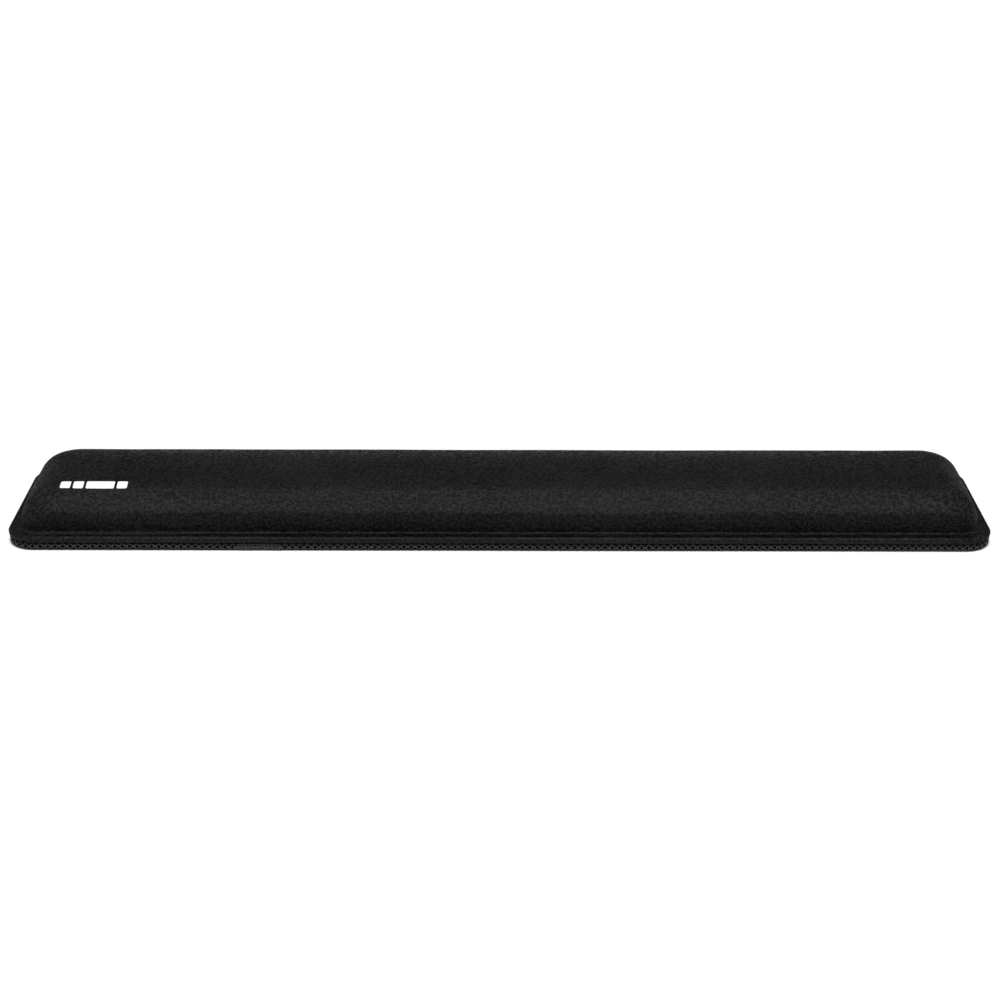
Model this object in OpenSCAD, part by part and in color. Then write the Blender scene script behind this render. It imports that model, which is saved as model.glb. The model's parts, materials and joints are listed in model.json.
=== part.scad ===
// Keyboard wrist rest: a crowned foam pad with a thin flange, wrapped in a stretch-knit cover
// and stitched round its rim to a non-slip rubber base.
//
// +X runs along the rest, +Y points to the keyboard and +Z is up. The origin is under the middle
// of the rest, on the surface that it lies on.
//
// The cover and the foam are lofts: a stack of rounded-rectangle rings that follows the rest's
// cross-section from the hem, round the rolled edge, over the groove and up the pad's wall,
// closed by a grid over the crown. The pad rises to the crown as a quarter ellipse on three sides,
// and on the wrist side as a steep wall, a sloping face and a rounded edge.

/* [Overall size] */
// Length of the rest
rest_length = 440; // [350:1:480]
// Depth of the rest, from the wrist side to the keyboard side
rest_depth = 80; // [66:1:100]
// Height of the crown's highest line above the desk
rest_height = 25.8; // [20:0.1:30]
// Radius of the outer corners
corner_r = 12.6; // [9:0.1:18]

/* [Rubber base] */
// Thickness of the rubber sheet
base_t = 2.4; // [1.8:0.1:3]
// Thickness of the adhesive film that bonds the foam to the rubber
film_t = 0.15; // [0.1:0.05:0.3]
// Width of the rim that the stitching covers
bite = 3.6; // [2.5:0.1:5]
// Depth by which the stitching presses the rim's underside in
pinch = 0.6; // [0.5:0.05:0.8]

/* [Overlock stitching] */
// Diameter of the sewing threads
thread_d = 0.5; // [0.3:0.05:0.6]
// Distance of the stitched rim inside the rolled edge
stitch_inset = 0.3; // [0.2:0.05:0.5]

/* [Cover] */
// Thickness of the knit laminate
cover_t = 0.65; // [0.4:0.05:0.9]
// Width of the hem that is turned in under the foam
hem_w = 8; // [6:0.5:12]
// Half the width of the rolled edge
roll_w = 1.7; // [1.4:0.1:2]
// Half the height of the rolled edge
roll_h = 1.8; // [1.5:0.1:2]
// Height of the groove between the rolled edge and the pad
groove_z = 5.5; // [5:0.1:6]

/* [Pad] */
// Distance of the pad's foot inside the outer edge, at both ends
foot_end = 5; // [4.5:0.1:9]
// Distance of the pad's foot inside the outer edge, on the wrist side
foot_front = 7.5; // [5:0.1:12]
// Distance of the pad's foot inside the outer edge, on the keyboard side
foot_back = 8.2; // [5:0.1:12]
// Radius of the pad's corners on the wrist side, at the foot
pad_front_r = 10; // [8:0.5:14]
// Radius of the pad's corners on the keyboard side, at the foot
pad_back_r = 16; // [10:0.5:18]
// Width of the pad's rounded shoulder at both ends and on the keyboard side
shoulder = 15; // [10:0.5:18]
// Fall of the crown from its highest line to over the pad's foot on the wrist side
crown_drop = 3.9; // [1:0.1:5]
// Distance of the crown's highest line behind the middle of the rest
crown_y = 8; // [0:0.5:12]

/* [Wrist side of the pad] */
// Lean of the steep wall above the foot, as a depth
wall_lean = 1.2; // [0.5:0.1:2]
// Depth of the sloping face above the wall
slope_run = 7.4; // [4:0.1:8]
// Depth of the rounded edge between the sloping face and the crown
edge_run = 7.4; // [4:0.1:9]

/* [Printed mark] */
// Thickness of the printed film
mark_t = 0.12; // [0.05:0.01:0.2]
// Length of the whole mark
mark_w = 30; // [20:1:40]
// Depth of the mark, measured along Y
mark_d = 5.2; // [3:0.2:8]
// Distance from the left end to the mark
mark_end = 23; // [21:1:60]
// Distance from the outer edge on the wrist side to the mark
mark_front = 17.3; // [16.5:0.1:40]

/* [Hidden] */
$fn = 64;

half_l = rest_length / 2;
half_d = rest_depth / 2;

film_z = base_t + film_t;             // top of the adhesive film, where the hem and the foam begin
hem_z = film_z + cover_t;             // top of the turned-in hem
ply_inset = stitch_inset + thread_d;  // edge of the rubber and the hem, behind the threads
thread_gap = 0.1;                     // gap between two threads that run side by side
loop_z = (pinch + hem_z) / 2;         // height at which the two loopers' threads meet on the rim
crease = 0.05;                        // depth of the crease between the hem and the rolled edge
roll_z = hem_z + crease + roll_h;     // height of the rolled edge's middle
foot = [foot_end, foot_front, foot_back];
foot_z = groove_z + 0.2;              // height of the pad's foot

// Points round a ring: arc_n for half of each corner, and the rest along the straight sides.
arc_n = 4;
long_n = 10;
short_n = 3;
nx = 2 * arc_n + long_n;
ny = 2 * arc_n + short_n;
ring_n = 2 * (nx + ny);
roll_n = 9;
shoulder_n = 8;
wall_share = sin(90 * 3 / shoulder_n);   // shares of the pad's height at which the wrist side's wall
slope_share = sin(90 * 7 / shoulder_n);  // and its sloping face end, each on one of the rings
tightest_r = 2;  // smallest radius of a ring's corners

// The rolled edge's arc, in degrees, with 180 pointing outward: it begins under the edge's belly
roll_from = 240;
roll_step = 20;
roll_end = roll_w * (1 + cos(roll_from - roll_n * roll_step));  // where it turns down into the groove

bar_gap = 1.2;               // gap between the mark's bars
bar_shares = [4, 4, 11, 4];  // lengths of the bars against each other, from left to right
bar_unit = (mark_w - bar_gap * (len(bar_shares) - 1)) / sum(bar_shares);
bar_steps = 6;

// Height of the crown over a point at depth y
function crown_z(y) =
    rest_height - crown_drop * pow((y - crown_y) / (half_d - foot_front + crown_y), 2);

// The wrist side's cross-section: [share of the pad's height, distance inside its foot]
wrist_profile = [
    [0, 0],
    [wall_share, wall_lean],
    [slope_share, wall_lean + slope_run],
    [1, wall_lean + slope_run + edge_run],
];

// n points of an arc, without its last one
function arc_points(cx, cy, r, from, to, n) =
    [for (i = [0:n - 1]) let (a = from + (to - from) * i / n) [cx + r * cos(a), cy + r * sin(a)]];

// n points of a straight line, without its last one
function line_points(p, q, n) = [for (i = [0:n - 1]) p + (q - p) * i / n];

// A rounded rectangle inside the outer edge by [ends, front, back], anticlockwise from the
// diagonal of its front left corner
function outline(inset, front_r, back_r) =
    let (
        x = half_l - inset[0], f = -half_d + inset[1], b = half_d - inset[2],
        fx = x - front_r, fy = f + front_r, bx = x - back_r, by = b - back_r
    )
    concat(
        arc_points(-fx, fy, front_r, 225, 270, arc_n),
        line_points([-fx, f], [fx, f], long_n),
        arc_points(fx, fy, front_r, 270, 360, 2 * arc_n),
        line_points([x, fy], [x, by], short_n),
        arc_points(bx, by, back_r, 0, 90, 2 * arc_n),
        line_points([bx, b], [-bx, b], long_n),
        arc_points(-bx, by, back_r, 90, 180, 2 * arc_n),
        line_points([-x, by], [-x, fy], short_n),
        arc_points(-fx, fy, front_r, 180, 225, arc_n)
    );

function lift(points, z) = [for (p = points) [p[0], p[1], z]];

// A ring at one distance inside the outer edge all round
function edge_ring(inset, z) =
    let (r = max(corner_r - inset, tightest_r))
    lift(outline([inset, inset, inset], r, r), z);

// The pad's rings start at its foot, skin deep inside the cover's outer surface
function foot_ring(skin) =
    lift(outline(foot + [skin, skin, skin], pad_front_r, pad_back_r), foot_z - skin);

// The ring at the bottom of the groove, halfway between the rolled edge and the foot
function groove_ring(skin) =
    let (inset = (foot + [roll_end, roll_end, roll_end]) / 2, r = corner_r - roll_end)
    lift(outline(inset, (r + pad_front_r) / 2, (r + pad_back_r) / 2), groove_z - skin);

// The rolled edge, from under its belly to the top of the groove
function roll_rings(skin) =
    [for (i = [0:roll_n])
        let (a = roll_from - roll_step * i)
        edge_ring(roll_w + (roll_w - skin) * cos(a), roll_z + (roll_h - skin) * sin(a))];

// The shoulder, from the foot to the crown
function shoulder_rings(skin) =
    [for (i = [1:shoulder_n])
        let (
            a = 90 * i / shoulder_n, d = skin + (shoulder - skin) * (1 - cos(a)),
            wrist_d = skin + lookup(sin(a), wrist_profile) * (shoulder - skin) / shoulder,
            front_r = max(pad_front_r - d / 2, tightest_r),
            back_r = max(pad_back_r - d / 2, tightest_r),
            ring = outline(foot + [d, wrist_d, d], front_r, back_r),
            base = foot_z - skin
        )
        [for (p = ring) [p[0], p[1], base + (crown_z(p[1]) - skin - base) * sin(a)]]];

function upper_rings(skin) =
    concat(roll_rings(skin), [groove_ring(skin), foot_ring(skin)], shoulder_rings(skin));

function cover_outside() =
    concat([edge_ring(hem_w, film_z), edge_ring(ply_inset, film_z), edge_ring(ply_inset, hem_z)],
           upper_rings(0));

function cover_inside() =
    concat([edge_ring(hem_w, hem_z), edge_ring(ply_inset + cover_t, hem_z)], upper_rings(cover_t));

function foam_outside() = concat([edge_ring(hem_w, film_z)], cover_inside());

// Inner points of the grid that closes a loft, blended from the last ring's four sides
function cap_points(ring, skin) =
    [for (j = [1:ny - 1]) for (i = [1:nx - 1])
        let (
            s = i / nx, t = j / ny,
            p = (1 - t) * ring[rim_index(i, 0)] + t * ring[rim_index(i, ny)]
                + (1 - s) * ring[rim_index(0, j)] + s * ring[rim_index(nx, j)]
                - (1 - s) * (1 - t) * ring[0] - s * (1 - t) * ring[nx]
                - s * t * ring[nx + ny] - (1 - s) * t * ring[2 * nx + ny]
        )
        [p[0], p[1], crown_z(p[1]) - skin]];

// Place on the last ring of a point on the grid's rim
function rim_index(i, j) =
    j == 0 ? i : i == nx ? nx + j : j == ny ? 2 * nx + ny - i : (ring_n - j) % ring_n;

function grid_index(i, j, ring_start, cap_start) =
    i > 0 && i < nx && j > 0 && j < ny
        ? cap_start + (j - 1) * (nx - 1) + i - 1
        : ring_start + rim_index(i, j);

function flat(lists) = [for (l = lists) for (p = l) p];

function sum(list, i = 0) = i < len(list) ? list[i] + sum(list, i + 1) : 0;

// Triangles between neighbouring rings, facing outward where the rings climb
function wall_faces(start, rings) =
    [for (r = [0:rings - 2]) for (i = [0:ring_n - 1])
        let (a = start + r * ring_n + i, b = start + r * ring_n + (i + 1) % ring_n)
        each [[a, a + ring_n, b + ring_n], [a, b + ring_n, b]]];

function cap_faces(ring_start, cap_start) =
    [for (j = [0:ny - 1]) for (i = [0:nx - 1])
        let (
            a = grid_index(i, j, ring_start, cap_start),
            b = grid_index(i + 1, j, ring_start, cap_start),
            c = grid_index(i + 1, j + 1, ring_start, cap_start),
            d = grid_index(i, j + 1, ring_start, cap_start)
        )
        each [[a, c, b], [a, d, c]]];

function turned(faces) = [for (f = faces) [f[2], f[1], f[0]]];

// A loft's points: every ring, then the grid over the last one
function loft_points(rings, skin) = concat(flat(rings), cap_points(rings[len(rings) - 1], skin));

function loft_faces(start, rings) =
    concat(wall_faces(start, rings),
           cap_faces(start + (rings - 1) * ring_n, start + rings * ring_n));

// A flat slab with round corners, inside the outer edge by inset
module slab(inset, low, high) {
    r = corner_r - inset;
    translate([0, 0, low])
        linear_extrude(high - low)
            union() {
                square([2 * (half_l - corner_r), 2 * (half_d - inset)], center = true);
                square([2 * (half_l - inset), 2 * (half_d - corner_r)], center = true);
                for (sx = [-1, 1])
                    for (sy = [-1, 1])
                        translate([sx * (half_l - corner_r), sy * (half_d - corner_r)])
                            circle(r);
            }
}

// A closed band that runs round the rim between two distances inside the outer edge
module band(outer, inner, low, high) {
    difference() {
        slab(outer, low, high);
        slab(inner, low - 1, high + 1);
    }
}

// Rubber sheet: the rim is thinner where the stitching presses it in
module rubber_base() {
    color("#1b1b1c")
        union() {
            slab(ply_inset, pinch, base_t);
            slab(bite, 0, pinch);
        }
}

module base_adhesive() {
    color("#c9c2a6")
        slab(ply_inset + cover_t, base_t, film_z);
}

// Moulded memory foam: flange and crowned pad in one piece, stepped down inside the hem
module foam_core() {
    rings = foam_outside();
    bottom = [for (i = [0:ring_n - 1]) i];
    color("#e8e4d4")
        polyhedron(loft_points(rings, cover_t), concat([bottom], loft_faces(0, len(rings))));
}

// One piece of knit laminate, from the hem's edge up and over the whole pad
module knit_cover() {
    outside = cover_outside();
    inside = cover_inside();
    outside_points = loft_points(outside, 0);
    inner = len(outside_points);
    hem_edge = [for (i = [0:ring_n - 1])
        let (k = (i + 1) % ring_n) each [[i, k, inner + k], [i, inner + k, inner + i]]];
    color("#232324")
        polyhedron(
            concat(outside_points, loft_points(inside, cover_t)),
            concat(hem_edge, loft_faces(0, len(outside)), turned(loft_faces(inner, len(inside))))
        );
}

// Straight line of stitches on the underside
module needle_thread() {
    color("#2b2b2b")
        band(bite - thread_d, bite, pinch - thread_d, pinch);
}

// Loops over the underside of the rim and up the lower half of its edge
module upper_looper_thread() {
    color("#2f2f30")
        union() {
            band(stitch_inset, bite - thread_d - thread_gap, pinch - thread_d, pinch);
            band(stitch_inset, ply_inset, pinch, loop_z - thread_gap / 2);
        }
}

// Loops that come down over the upper half of the rim's edge
module lower_looper_thread() {
    color("#2f2f30")
        band(stitch_inset, ply_inset, loop_z + thread_gap / 2, hem_z);
}

// Height of the pad at depth y: along the wrist side's cross-section, and then the crown
function pad_z(y) =
    let (
        section = [for (p = wrist_profile)
            let (at = -half_d + foot_front + p[1]) [at, foot_z + (crown_z(at) - foot_z) * p[0]]]
    )
    y < section[3][0] ? lookup(y, section) : crown_z(y);

// One bar of printed film that follows the pad
module mark_bar(x, w) {
    ys = [for (i = [0:bar_steps]) -half_d + mark_front + mark_d * i / bar_steps];
    points = [for (y = ys) for (up = [0, mark_t]) for (across = [0, w])
        [x + across, y, pad_z(y) + up]];
    sides = [for (i = [0:bar_steps - 1]) let (k = 4 * i) each [
        [k, k + 1, k + 5], [k, k + 5, k + 4],
        [k + 2, k + 6, k + 7], [k + 2, k + 7, k + 3],
        [k, k + 4, k + 6], [k, k + 6, k + 2],
        [k + 1, k + 3, k + 7], [k + 1, k + 7, k + 5],
    ]];
    last = 4 * bar_steps;
    ends = [[0, 2, 3], [0, 3, 1], [last, last + 1, last + 3], [last, last + 3, last + 2]];
    polyhedron(points, concat(sides, ends));
}

// Plain row of bars like a keyboard's bottom row, printed on the rounded edge near the left end
module printed_mark() {
    color("#f4f4f2")
        for (i = [0:len(bar_shares) - 1]) {
            before = [for (k = [0:1:i - 1]) bar_shares[k] * bar_unit + bar_gap];
            mark_bar(-half_l + mark_end + sum(before), bar_shares[i] * bar_unit);
        }
}

rubber_base();
base_adhesive();
foam_core();
knit_cover();
needle_thread();
upper_looper_thread();
lower_looper_thread();
printed_mark();
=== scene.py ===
import json
import math

import bpy
import numpy as np
from mathutils import Matrix, Vector, noise
from mathutils.bvhtree import BVHTree
from mathutils.interpolate import poly_3d_calc

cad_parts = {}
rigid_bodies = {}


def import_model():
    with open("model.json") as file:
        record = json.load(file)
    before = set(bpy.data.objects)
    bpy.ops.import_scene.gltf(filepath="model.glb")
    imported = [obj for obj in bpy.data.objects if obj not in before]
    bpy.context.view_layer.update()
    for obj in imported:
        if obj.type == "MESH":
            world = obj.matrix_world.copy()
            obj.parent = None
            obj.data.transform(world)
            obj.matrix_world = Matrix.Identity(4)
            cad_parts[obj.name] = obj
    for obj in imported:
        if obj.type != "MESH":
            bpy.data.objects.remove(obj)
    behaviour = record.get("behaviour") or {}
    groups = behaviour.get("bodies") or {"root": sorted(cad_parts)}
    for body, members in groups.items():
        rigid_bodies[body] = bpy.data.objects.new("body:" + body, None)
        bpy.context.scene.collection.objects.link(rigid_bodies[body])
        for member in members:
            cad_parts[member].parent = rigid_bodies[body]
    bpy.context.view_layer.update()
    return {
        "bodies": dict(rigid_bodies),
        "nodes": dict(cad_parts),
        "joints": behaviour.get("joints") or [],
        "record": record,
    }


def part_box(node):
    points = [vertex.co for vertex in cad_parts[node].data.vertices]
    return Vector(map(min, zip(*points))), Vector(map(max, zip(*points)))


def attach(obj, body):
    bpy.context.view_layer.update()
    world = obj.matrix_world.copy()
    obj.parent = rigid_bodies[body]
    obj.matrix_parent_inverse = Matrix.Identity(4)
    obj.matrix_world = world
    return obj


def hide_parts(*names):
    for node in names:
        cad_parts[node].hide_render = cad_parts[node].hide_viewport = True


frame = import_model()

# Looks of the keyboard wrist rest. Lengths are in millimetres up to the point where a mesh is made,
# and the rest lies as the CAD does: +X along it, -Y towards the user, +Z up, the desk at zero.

MM = 0.001


def cad_box_mm(node):
    """Lowest and highest corner of a CAD node, in millimetres."""
    low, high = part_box(node)
    return np.array(low) / MM, np.array(high) / MM


# ---------------------------------------------------------------- sizes

cover_low, cover_high = cad_box_mm("knit_cover")
base_high = cad_box_mm("rubber_base")[1]
loops_high = cad_box_mm("lower_looper_thread")[1]
needle_low, needle_high = cad_box_mm("needle_thread")
mark_low, mark_high = cad_box_mm("printed_mark")

HALF_L = cover_high[0]
HALF_D = cover_high[1]
HEIGHT = cover_high[2]
PLY_INSET = HALF_L - base_high[0]      # edge of the rubber and the hem
STITCH_INSET = HALF_L - loops_high[0]  # outside of the stitching
NEEDLE_INSET = HALF_L - needle_high[0]
THREAD_D = needle_high[2] - needle_low[2]
PINCH = needle_high[2]                 # height of the rim's pressed-in underside
BASE_T = base_high[2]
FILM_Z = cover_low[2]                  # underside of the hem
HEM_Z = loops_high[2]                  # top of the hem
BITE = NEEDLE_INSET + THREAD_D         # how far in the underside is pressed in
COVER_T = HEM_Z - FILM_Z

CORNER_R = 12.6                        # of the outer edge
HEM_W, HEM_BEVEL = 8.0, 0.1
ROLL_W, ROLL_H = 0.9, 1.28             # half the width and half the height of the rolled edge
ROLL_LIFT = 0.8                        # from the hem to the lowest point of the roll's ellipse
ROLL_Z = HEM_Z + ROLL_LIFT + ROLL_H    # middle of the rolled edge
TUCK = 1.3                             # inset of the tuck between the hem and the rolled edge
FOOT = np.array([4.6, 7.5, 8.0])       # insets of the pad's foot: ends, wrist side, keyboard side
FOOT_Z = 5.7
PAD_FRONT_R, PAD_BACK_R = 10.0, 15.5   # corner radii of the foot on the wrist and keyboard sides
SHOULDER = 15.0                        # width of the pad's rounded shoulder at both ends
BACK_SHOULDER = 15.5                   # and on the keyboard side
FILL_RISE = 0.85                       # how much the crown rises when the cover is filled
CROWN_Z = HEIGHT - FILL_RISE           # highest line of the crown before that
CROWN_Y = 10.0                         # which lies nearer to the keyboard
CROWN_BEND = 0.0017                    # fall of the crown, by the square of the distance from it
TIGHTEST_R = 2.0                       # no corner gets sharper, however far in it lies

# The flange between the rolled edge (0) and the pad's foot (1): a groove, the pressed crease line
# and a narrow groove. Each pair is a place and a height. All of it is shallower at both ends.
FLANGE = [(0, ROLL_Z + ROLL_H), (0.17, 4.4), (0.49, 4.4), (0.58, 7.05), (0.74, 5.9), (1, FOOT_Z)]
END_FLANGE = [(0, ROLL_Z + ROLL_H), (0.17, 6.1), (0.49, 6.0), (0.58, 6.4), (0.74, 6.0), (1, FOOT_Z)]
# The heights that the cover's inside follows: a place, a height on the long sides and one at the ends
INNER_FLANGE = [(0.17, 4.4, 6.1), (0.49, 4.4, 6.0), (0.65, 5.3, 5.7)]

# The rolled edge's outside, from the tuck under its belly to its crest: insets and heights above
# the hem. Its face is steep and a narrow slope leads to the crest.
ROLL = [(TUCK, 0.03), (1.05, 0.42), (0.5, 0.52), (0.14, 0.9), (0.02, 1.6), (0.0, 2.4), (0.08, 2.78),
        (0.36, 3.03), (0.7, 3.3), (ROLL_W, ROLL_Z + ROLL_H - HEM_Z)]
ROLL_STEPS = 3                         # steps between two of its points
INNER_ROLL_RINGS = 7

# How the wrist side rises from the pad's foot: a steep wall, a sloping face and the edge of the
# crown. Each pair is an angle of the other sides' quarter ellipse and the distance in from the foot.
WRIST_SLOPE = [(0, 0), (34.8, 1.2), (40, 2.6), (50, 4.8), (60, 6.55), (70, 7.85), (79, 8.6), (90, 16)]
SLOPE_SOFTNESS = 4.0                   # degrees over which one part of that slope turns into the next
SLOPE_SAMPLES = 9

FLANGE_RINGS = 47
SHOULDER_RINGS = 36
INNER_SHOULDER_RINGS = 13

# The pressed crease line: the rings of the flange that make it, how much and over what length it is
# uneven, how much lower it is than drawn, and how much more towards the left end
CREASE_RING, CREASE_RINGS = 22, 14
CREASE_UNEVEN, CREASE_UNEVEN_SIZE, CREASE_SEED = 0.32, 16, 3
CREASE_LOWER = 0.12
CREASE_FADE, CREASE_FADE_X, CREASE_FADE_W = 0.75, 140.0, 12.0


# ---------------------------------------------------------------- rounded rectangles and lofts

class Grid:
    """How many points a ring has: half of each corner, the long sides and the short sides."""

    def __init__(self, arc, long, short):
        self.arc, self.long, self.short = arc, long, short
        self.nx = 2 * arc + long
        self.ny = 2 * arc + short
        self.ring = 2 * (self.nx + self.ny)


def arc_points(cx, cy, r, start, end, n):
    """n points of an arc between two angles in degrees, without its end."""
    a = np.radians(start + (end - start) * np.arange(n) / n)
    return np.stack([cx + r * np.cos(a), cy + r * np.sin(a)], 1)


def line_points(p, q, n):
    """n points of a line, without its end."""
    p, q = np.array(p, float), np.array(q, float)
    return p + (q - p) * (np.arange(n) / n)[:, None]


def outline(grid, insets, front_r, back_r):
    """A rounded rectangle inside the outer edge, anticlockwise from its front left diagonal."""
    x, f, b = HALF_L - insets[0], -HALF_D + insets[1], HALF_D - insets[2]
    fx, fy, bx, by = x - front_r, f + front_r, x - back_r, b - back_r
    return np.concatenate([
        arc_points(-fx, fy, front_r, 225, 270, grid.arc),
        line_points((-fx, f), (fx, f), grid.long),
        arc_points(fx, fy, front_r, 270, 360, 2 * grid.arc),
        line_points((x, fy), (x, by), grid.short),
        arc_points(bx, by, back_r, 0, 90, 2 * grid.arc),
        line_points((bx, b), (-bx, b), grid.long),
        arc_points(-bx, by, back_r, 90, 180, 2 * grid.arc),
        line_points((-x, by), (-x, fy), grid.short),
        arc_points(-fx, fy, front_r, 180, 225, grid.arc),
    ])


def outward(grid):
    """Unit vectors out of the outline at each of its points."""
    def turn(start, end, n):
        return arc_points(0, 0, 1, start, end, n)

    def hold(angle, n):
        return arc_points(0, 0, 1, angle, angle, n)

    return np.concatenate([
        turn(225, 270, grid.arc), hold(270, grid.long), turn(270, 360, 2 * grid.arc),
        hold(0, grid.short), turn(0, 90, 2 * grid.arc), hold(90, grid.long),
        turn(90, 180, 2 * grid.arc), hold(180, grid.short), turn(180, 225, grid.arc),
    ])


def lift(points, z):
    """Points of a flat outline at one height or at one each."""
    return np.column_stack([points, np.broadcast_to(z, len(points))])


def edge_ring(grid, inset, z):
    """A level ring at an inset from the outer edge."""
    r = max(CORNER_R - inset, TIGHTEST_R)
    return lift(outline(grid, [inset] * 3, r, r), z)


def crown_z(y):
    """Height of the crown before the cover is filled."""
    return CROWN_Z - CROWN_BEND * (y - CROWN_Y) ** 2


def flange_ring(grid, place, z, end_z):
    """One ring of the flange, at a height z on the long sides and end_z at the ends."""
    insets = ROLL_W + (FOOT - ROLL_W) * place
    front_r = CORNER_R - ROLL_W + (PAD_FRONT_R - CORNER_R + ROLL_W) * place
    back_r = CORNER_R - ROLL_W + (PAD_BACK_R - CORNER_R + ROLL_W) * place
    return lift(outline(grid, insets, front_r, back_r), z + (end_z - z) * outward(grid)[:, 0] ** 2)


def wrist_slope(angle):
    """Distance in from the foot on the wrist side, with the corners of the slope rounded off."""
    reach = np.linspace(-1, 1, SLOPE_SAMPLES) * min(SLOPE_SOFTNESS, angle, 90 - angle)
    return np.interp(angle + reach, *np.array(WRIST_SLOPE).T).mean()


def shoulder_ring(grid, angle, skin):
    """One ring of the shoulder, at an angle in degrees above the foot."""
    a = math.radians(angle)
    d = skin + (SHOULDER - skin) * (1 - math.cos(a))
    back_d = skin + (BACK_SHOULDER - skin) * (1 - math.cos(a))
    wrist_d = skin + wrist_slope(angle) * (SHOULDER - skin) / SHOULDER
    front_r = max(PAD_FRONT_R - d / 2, TIGHTEST_R)
    back_r = max(PAD_BACK_R - d / 2, TIGHTEST_R)
    points = outline(grid, FOOT + np.array([d, wrist_d, back_d]), front_r, back_r)
    base = FOOT_Z - skin
    return lift(points, base + (crown_z(points[:, 1]) - skin - base) * math.sin(a))


def rim_index(grid, i, j):
    """Place on the last ring of a point on the rim of the grid that closes a loft."""
    if j == 0:
        return i
    if i == grid.nx:
        return grid.nx + j
    if j == grid.ny:
        return 2 * grid.nx + grid.ny - i
    return (grid.ring - j) % grid.ring


def cap(grid, ring, start, ring_start):
    """Inner points and faces of the grid that closes a loft over its last ring."""
    nx, ny = grid.nx, grid.ny
    s = np.arange(nx + 1) / nx
    t = np.arange(ny + 1) / ny
    low = ring[[rim_index(grid, i, 0) for i in range(nx + 1)]]
    high = ring[[rim_index(grid, i, ny) for i in range(nx + 1)]]
    left = ring[[rim_index(grid, 0, j) for j in range(ny + 1)]]
    right = ring[[rim_index(grid, nx, j) for j in range(ny + 1)]]
    s2, t2 = s[None, :, None], t[:, None, None]
    patch = ((1 - t2) * low[None] + t2 * high[None] + (1 - s2) * left[:, None] + s2 * right[:, None]
             - (1 - s2) * (1 - t2) * low[0] - s2 * (1 - t2) * low[-1]
             - s2 * t2 * high[-1] - (1 - s2) * t2 * high[0])
    index = np.zeros((ny + 1, nx + 1), int)
    index[1:ny, 1:nx] = start + np.arange((nx - 1) * (ny - 1)).reshape(ny - 1, nx - 1)
    for i in range(nx + 1):
        index[0, i] = ring_start + rim_index(grid, i, 0)
        index[ny, i] = ring_start + rim_index(grid, i, ny)
    for j in range(1, ny):
        index[j, 0] = ring_start + rim_index(grid, 0, j)
        index[j, nx] = ring_start + rim_index(grid, nx, j)
    faces = np.stack([index[:-1, :-1], index[:-1, 1:], index[1:, 1:], index[1:, :-1]], -1)
    return patch[1:ny, 1:nx].reshape(-1, 3), faces.reshape(-1, 4)


def round_ring(grid):
    """Numbers of a ring's points, and of the point that follows each of them."""
    around = np.arange(grid.ring)
    return around, (around + 1) % grid.ring


def wall(grid, rings, start):
    """Faces between neighbouring rings, facing outward where the rings climb."""
    around, beside = round_ring(grid)
    faces = []
    for r in range(rings - 1):
        low = start + r * grid.ring
        faces.append(np.stack([low + around, low + beside,
                               low + grid.ring + beside, low + grid.ring + around], 1))
    return np.concatenate(faces)


def skin_over(grid, rings, skin, start=0):
    """Points and faces of a stack of rings, closed by a grid at a depth of skin under the crown."""
    points = np.concatenate(rings)
    inner, cap_faces = cap(grid, rings[-1], start + len(points), start + len(points) - grid.ring)
    inner[:, 2] = crown_z(inner[:, 1]) - skin
    faces = np.concatenate([wall(grid, len(rings), start), cap_faces])
    return np.concatenate([points, inner]), faces


# ---------------------------------------------------------------- meshes

def mesh_object(name, points, faces, uv=None, smooth=True):
    """A mesh from points in millimetres. uv has one pair for each point."""
    mesh = bpy.data.meshes.new(name)
    mesh.from_pydata((np.asarray(points) * MM).tolist(), [], [list(map(int, f)) for f in faces])
    if uv is not None:
        layer = mesh.uv_layers.new(name="UVMap")
        corners = np.zeros(len(mesh.loops), int)
        mesh.loops.foreach_get("vertex_index", corners)
        layer.data.foreach_set("uv", np.asarray(uv, float)[corners].ravel())
    mesh.polygons.foreach_set("use_smooth", [smooth] * len(mesh.polygons))
    mesh.update()
    obj = bpy.data.objects.new(name, mesh)
    bpy.context.collection.objects.link(obj)
    return obj


def dress(obj, material, slot, *nodes):
    """Gives a piece its material and its place in the frame, instead of its CAD nodes."""
    obj.data.materials.append(material)
    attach(obj, "root")
    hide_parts(*nodes)


def distances(path):
    """How far along a path each of its points lies."""
    return np.concatenate([[0], np.cumsum(np.linalg.norm(np.diff(path, axis=0), axis=1))])


def smooth_steps(pairs, n):
    """n places and heights from the first pair to the last, level at each pair."""
    places, heights = np.array(pairs).T
    x = np.linspace(places[0], places[-1], n)
    k = np.clip(np.searchsorted(places, x, "right") - 1, 0, len(places) - 2)
    t = (x - places[k]) / (places[k + 1] - places[k])
    t = t * t * (3 - 2 * t)
    return x, heights[k] + (heights[k + 1] - heights[k]) * t


def eased(points, per, closed):
    """A smooth curve through points, with per steps between each two (Catmull-Rom)."""
    if closed:
        padded = np.concatenate([points[-1:], points, points[:2]])
    else:
        padded = np.concatenate([points[:1], points, points[-1:]])
    spans = len(padded) - 3
    t = (np.arange(per) / per)[None, :, None]
    p0, p1, p2, p3 = (padded[k:k + spans, None, :] for k in range(4))
    curve = 0.5 * (2 * p1 + (p2 - p0) * t + (2 * p0 - 5 * p1 + 4 * p2 - p3) * t ** 2
                   + (3 * p1 - p0 - 3 * p2 + p3) * t ** 3)
    curve = curve.reshape(-1, points.shape[1])
    return curve if closed else np.concatenate([curve, points[-1:]])


# ---------------------------------------------------------------- cover and foam

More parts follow.
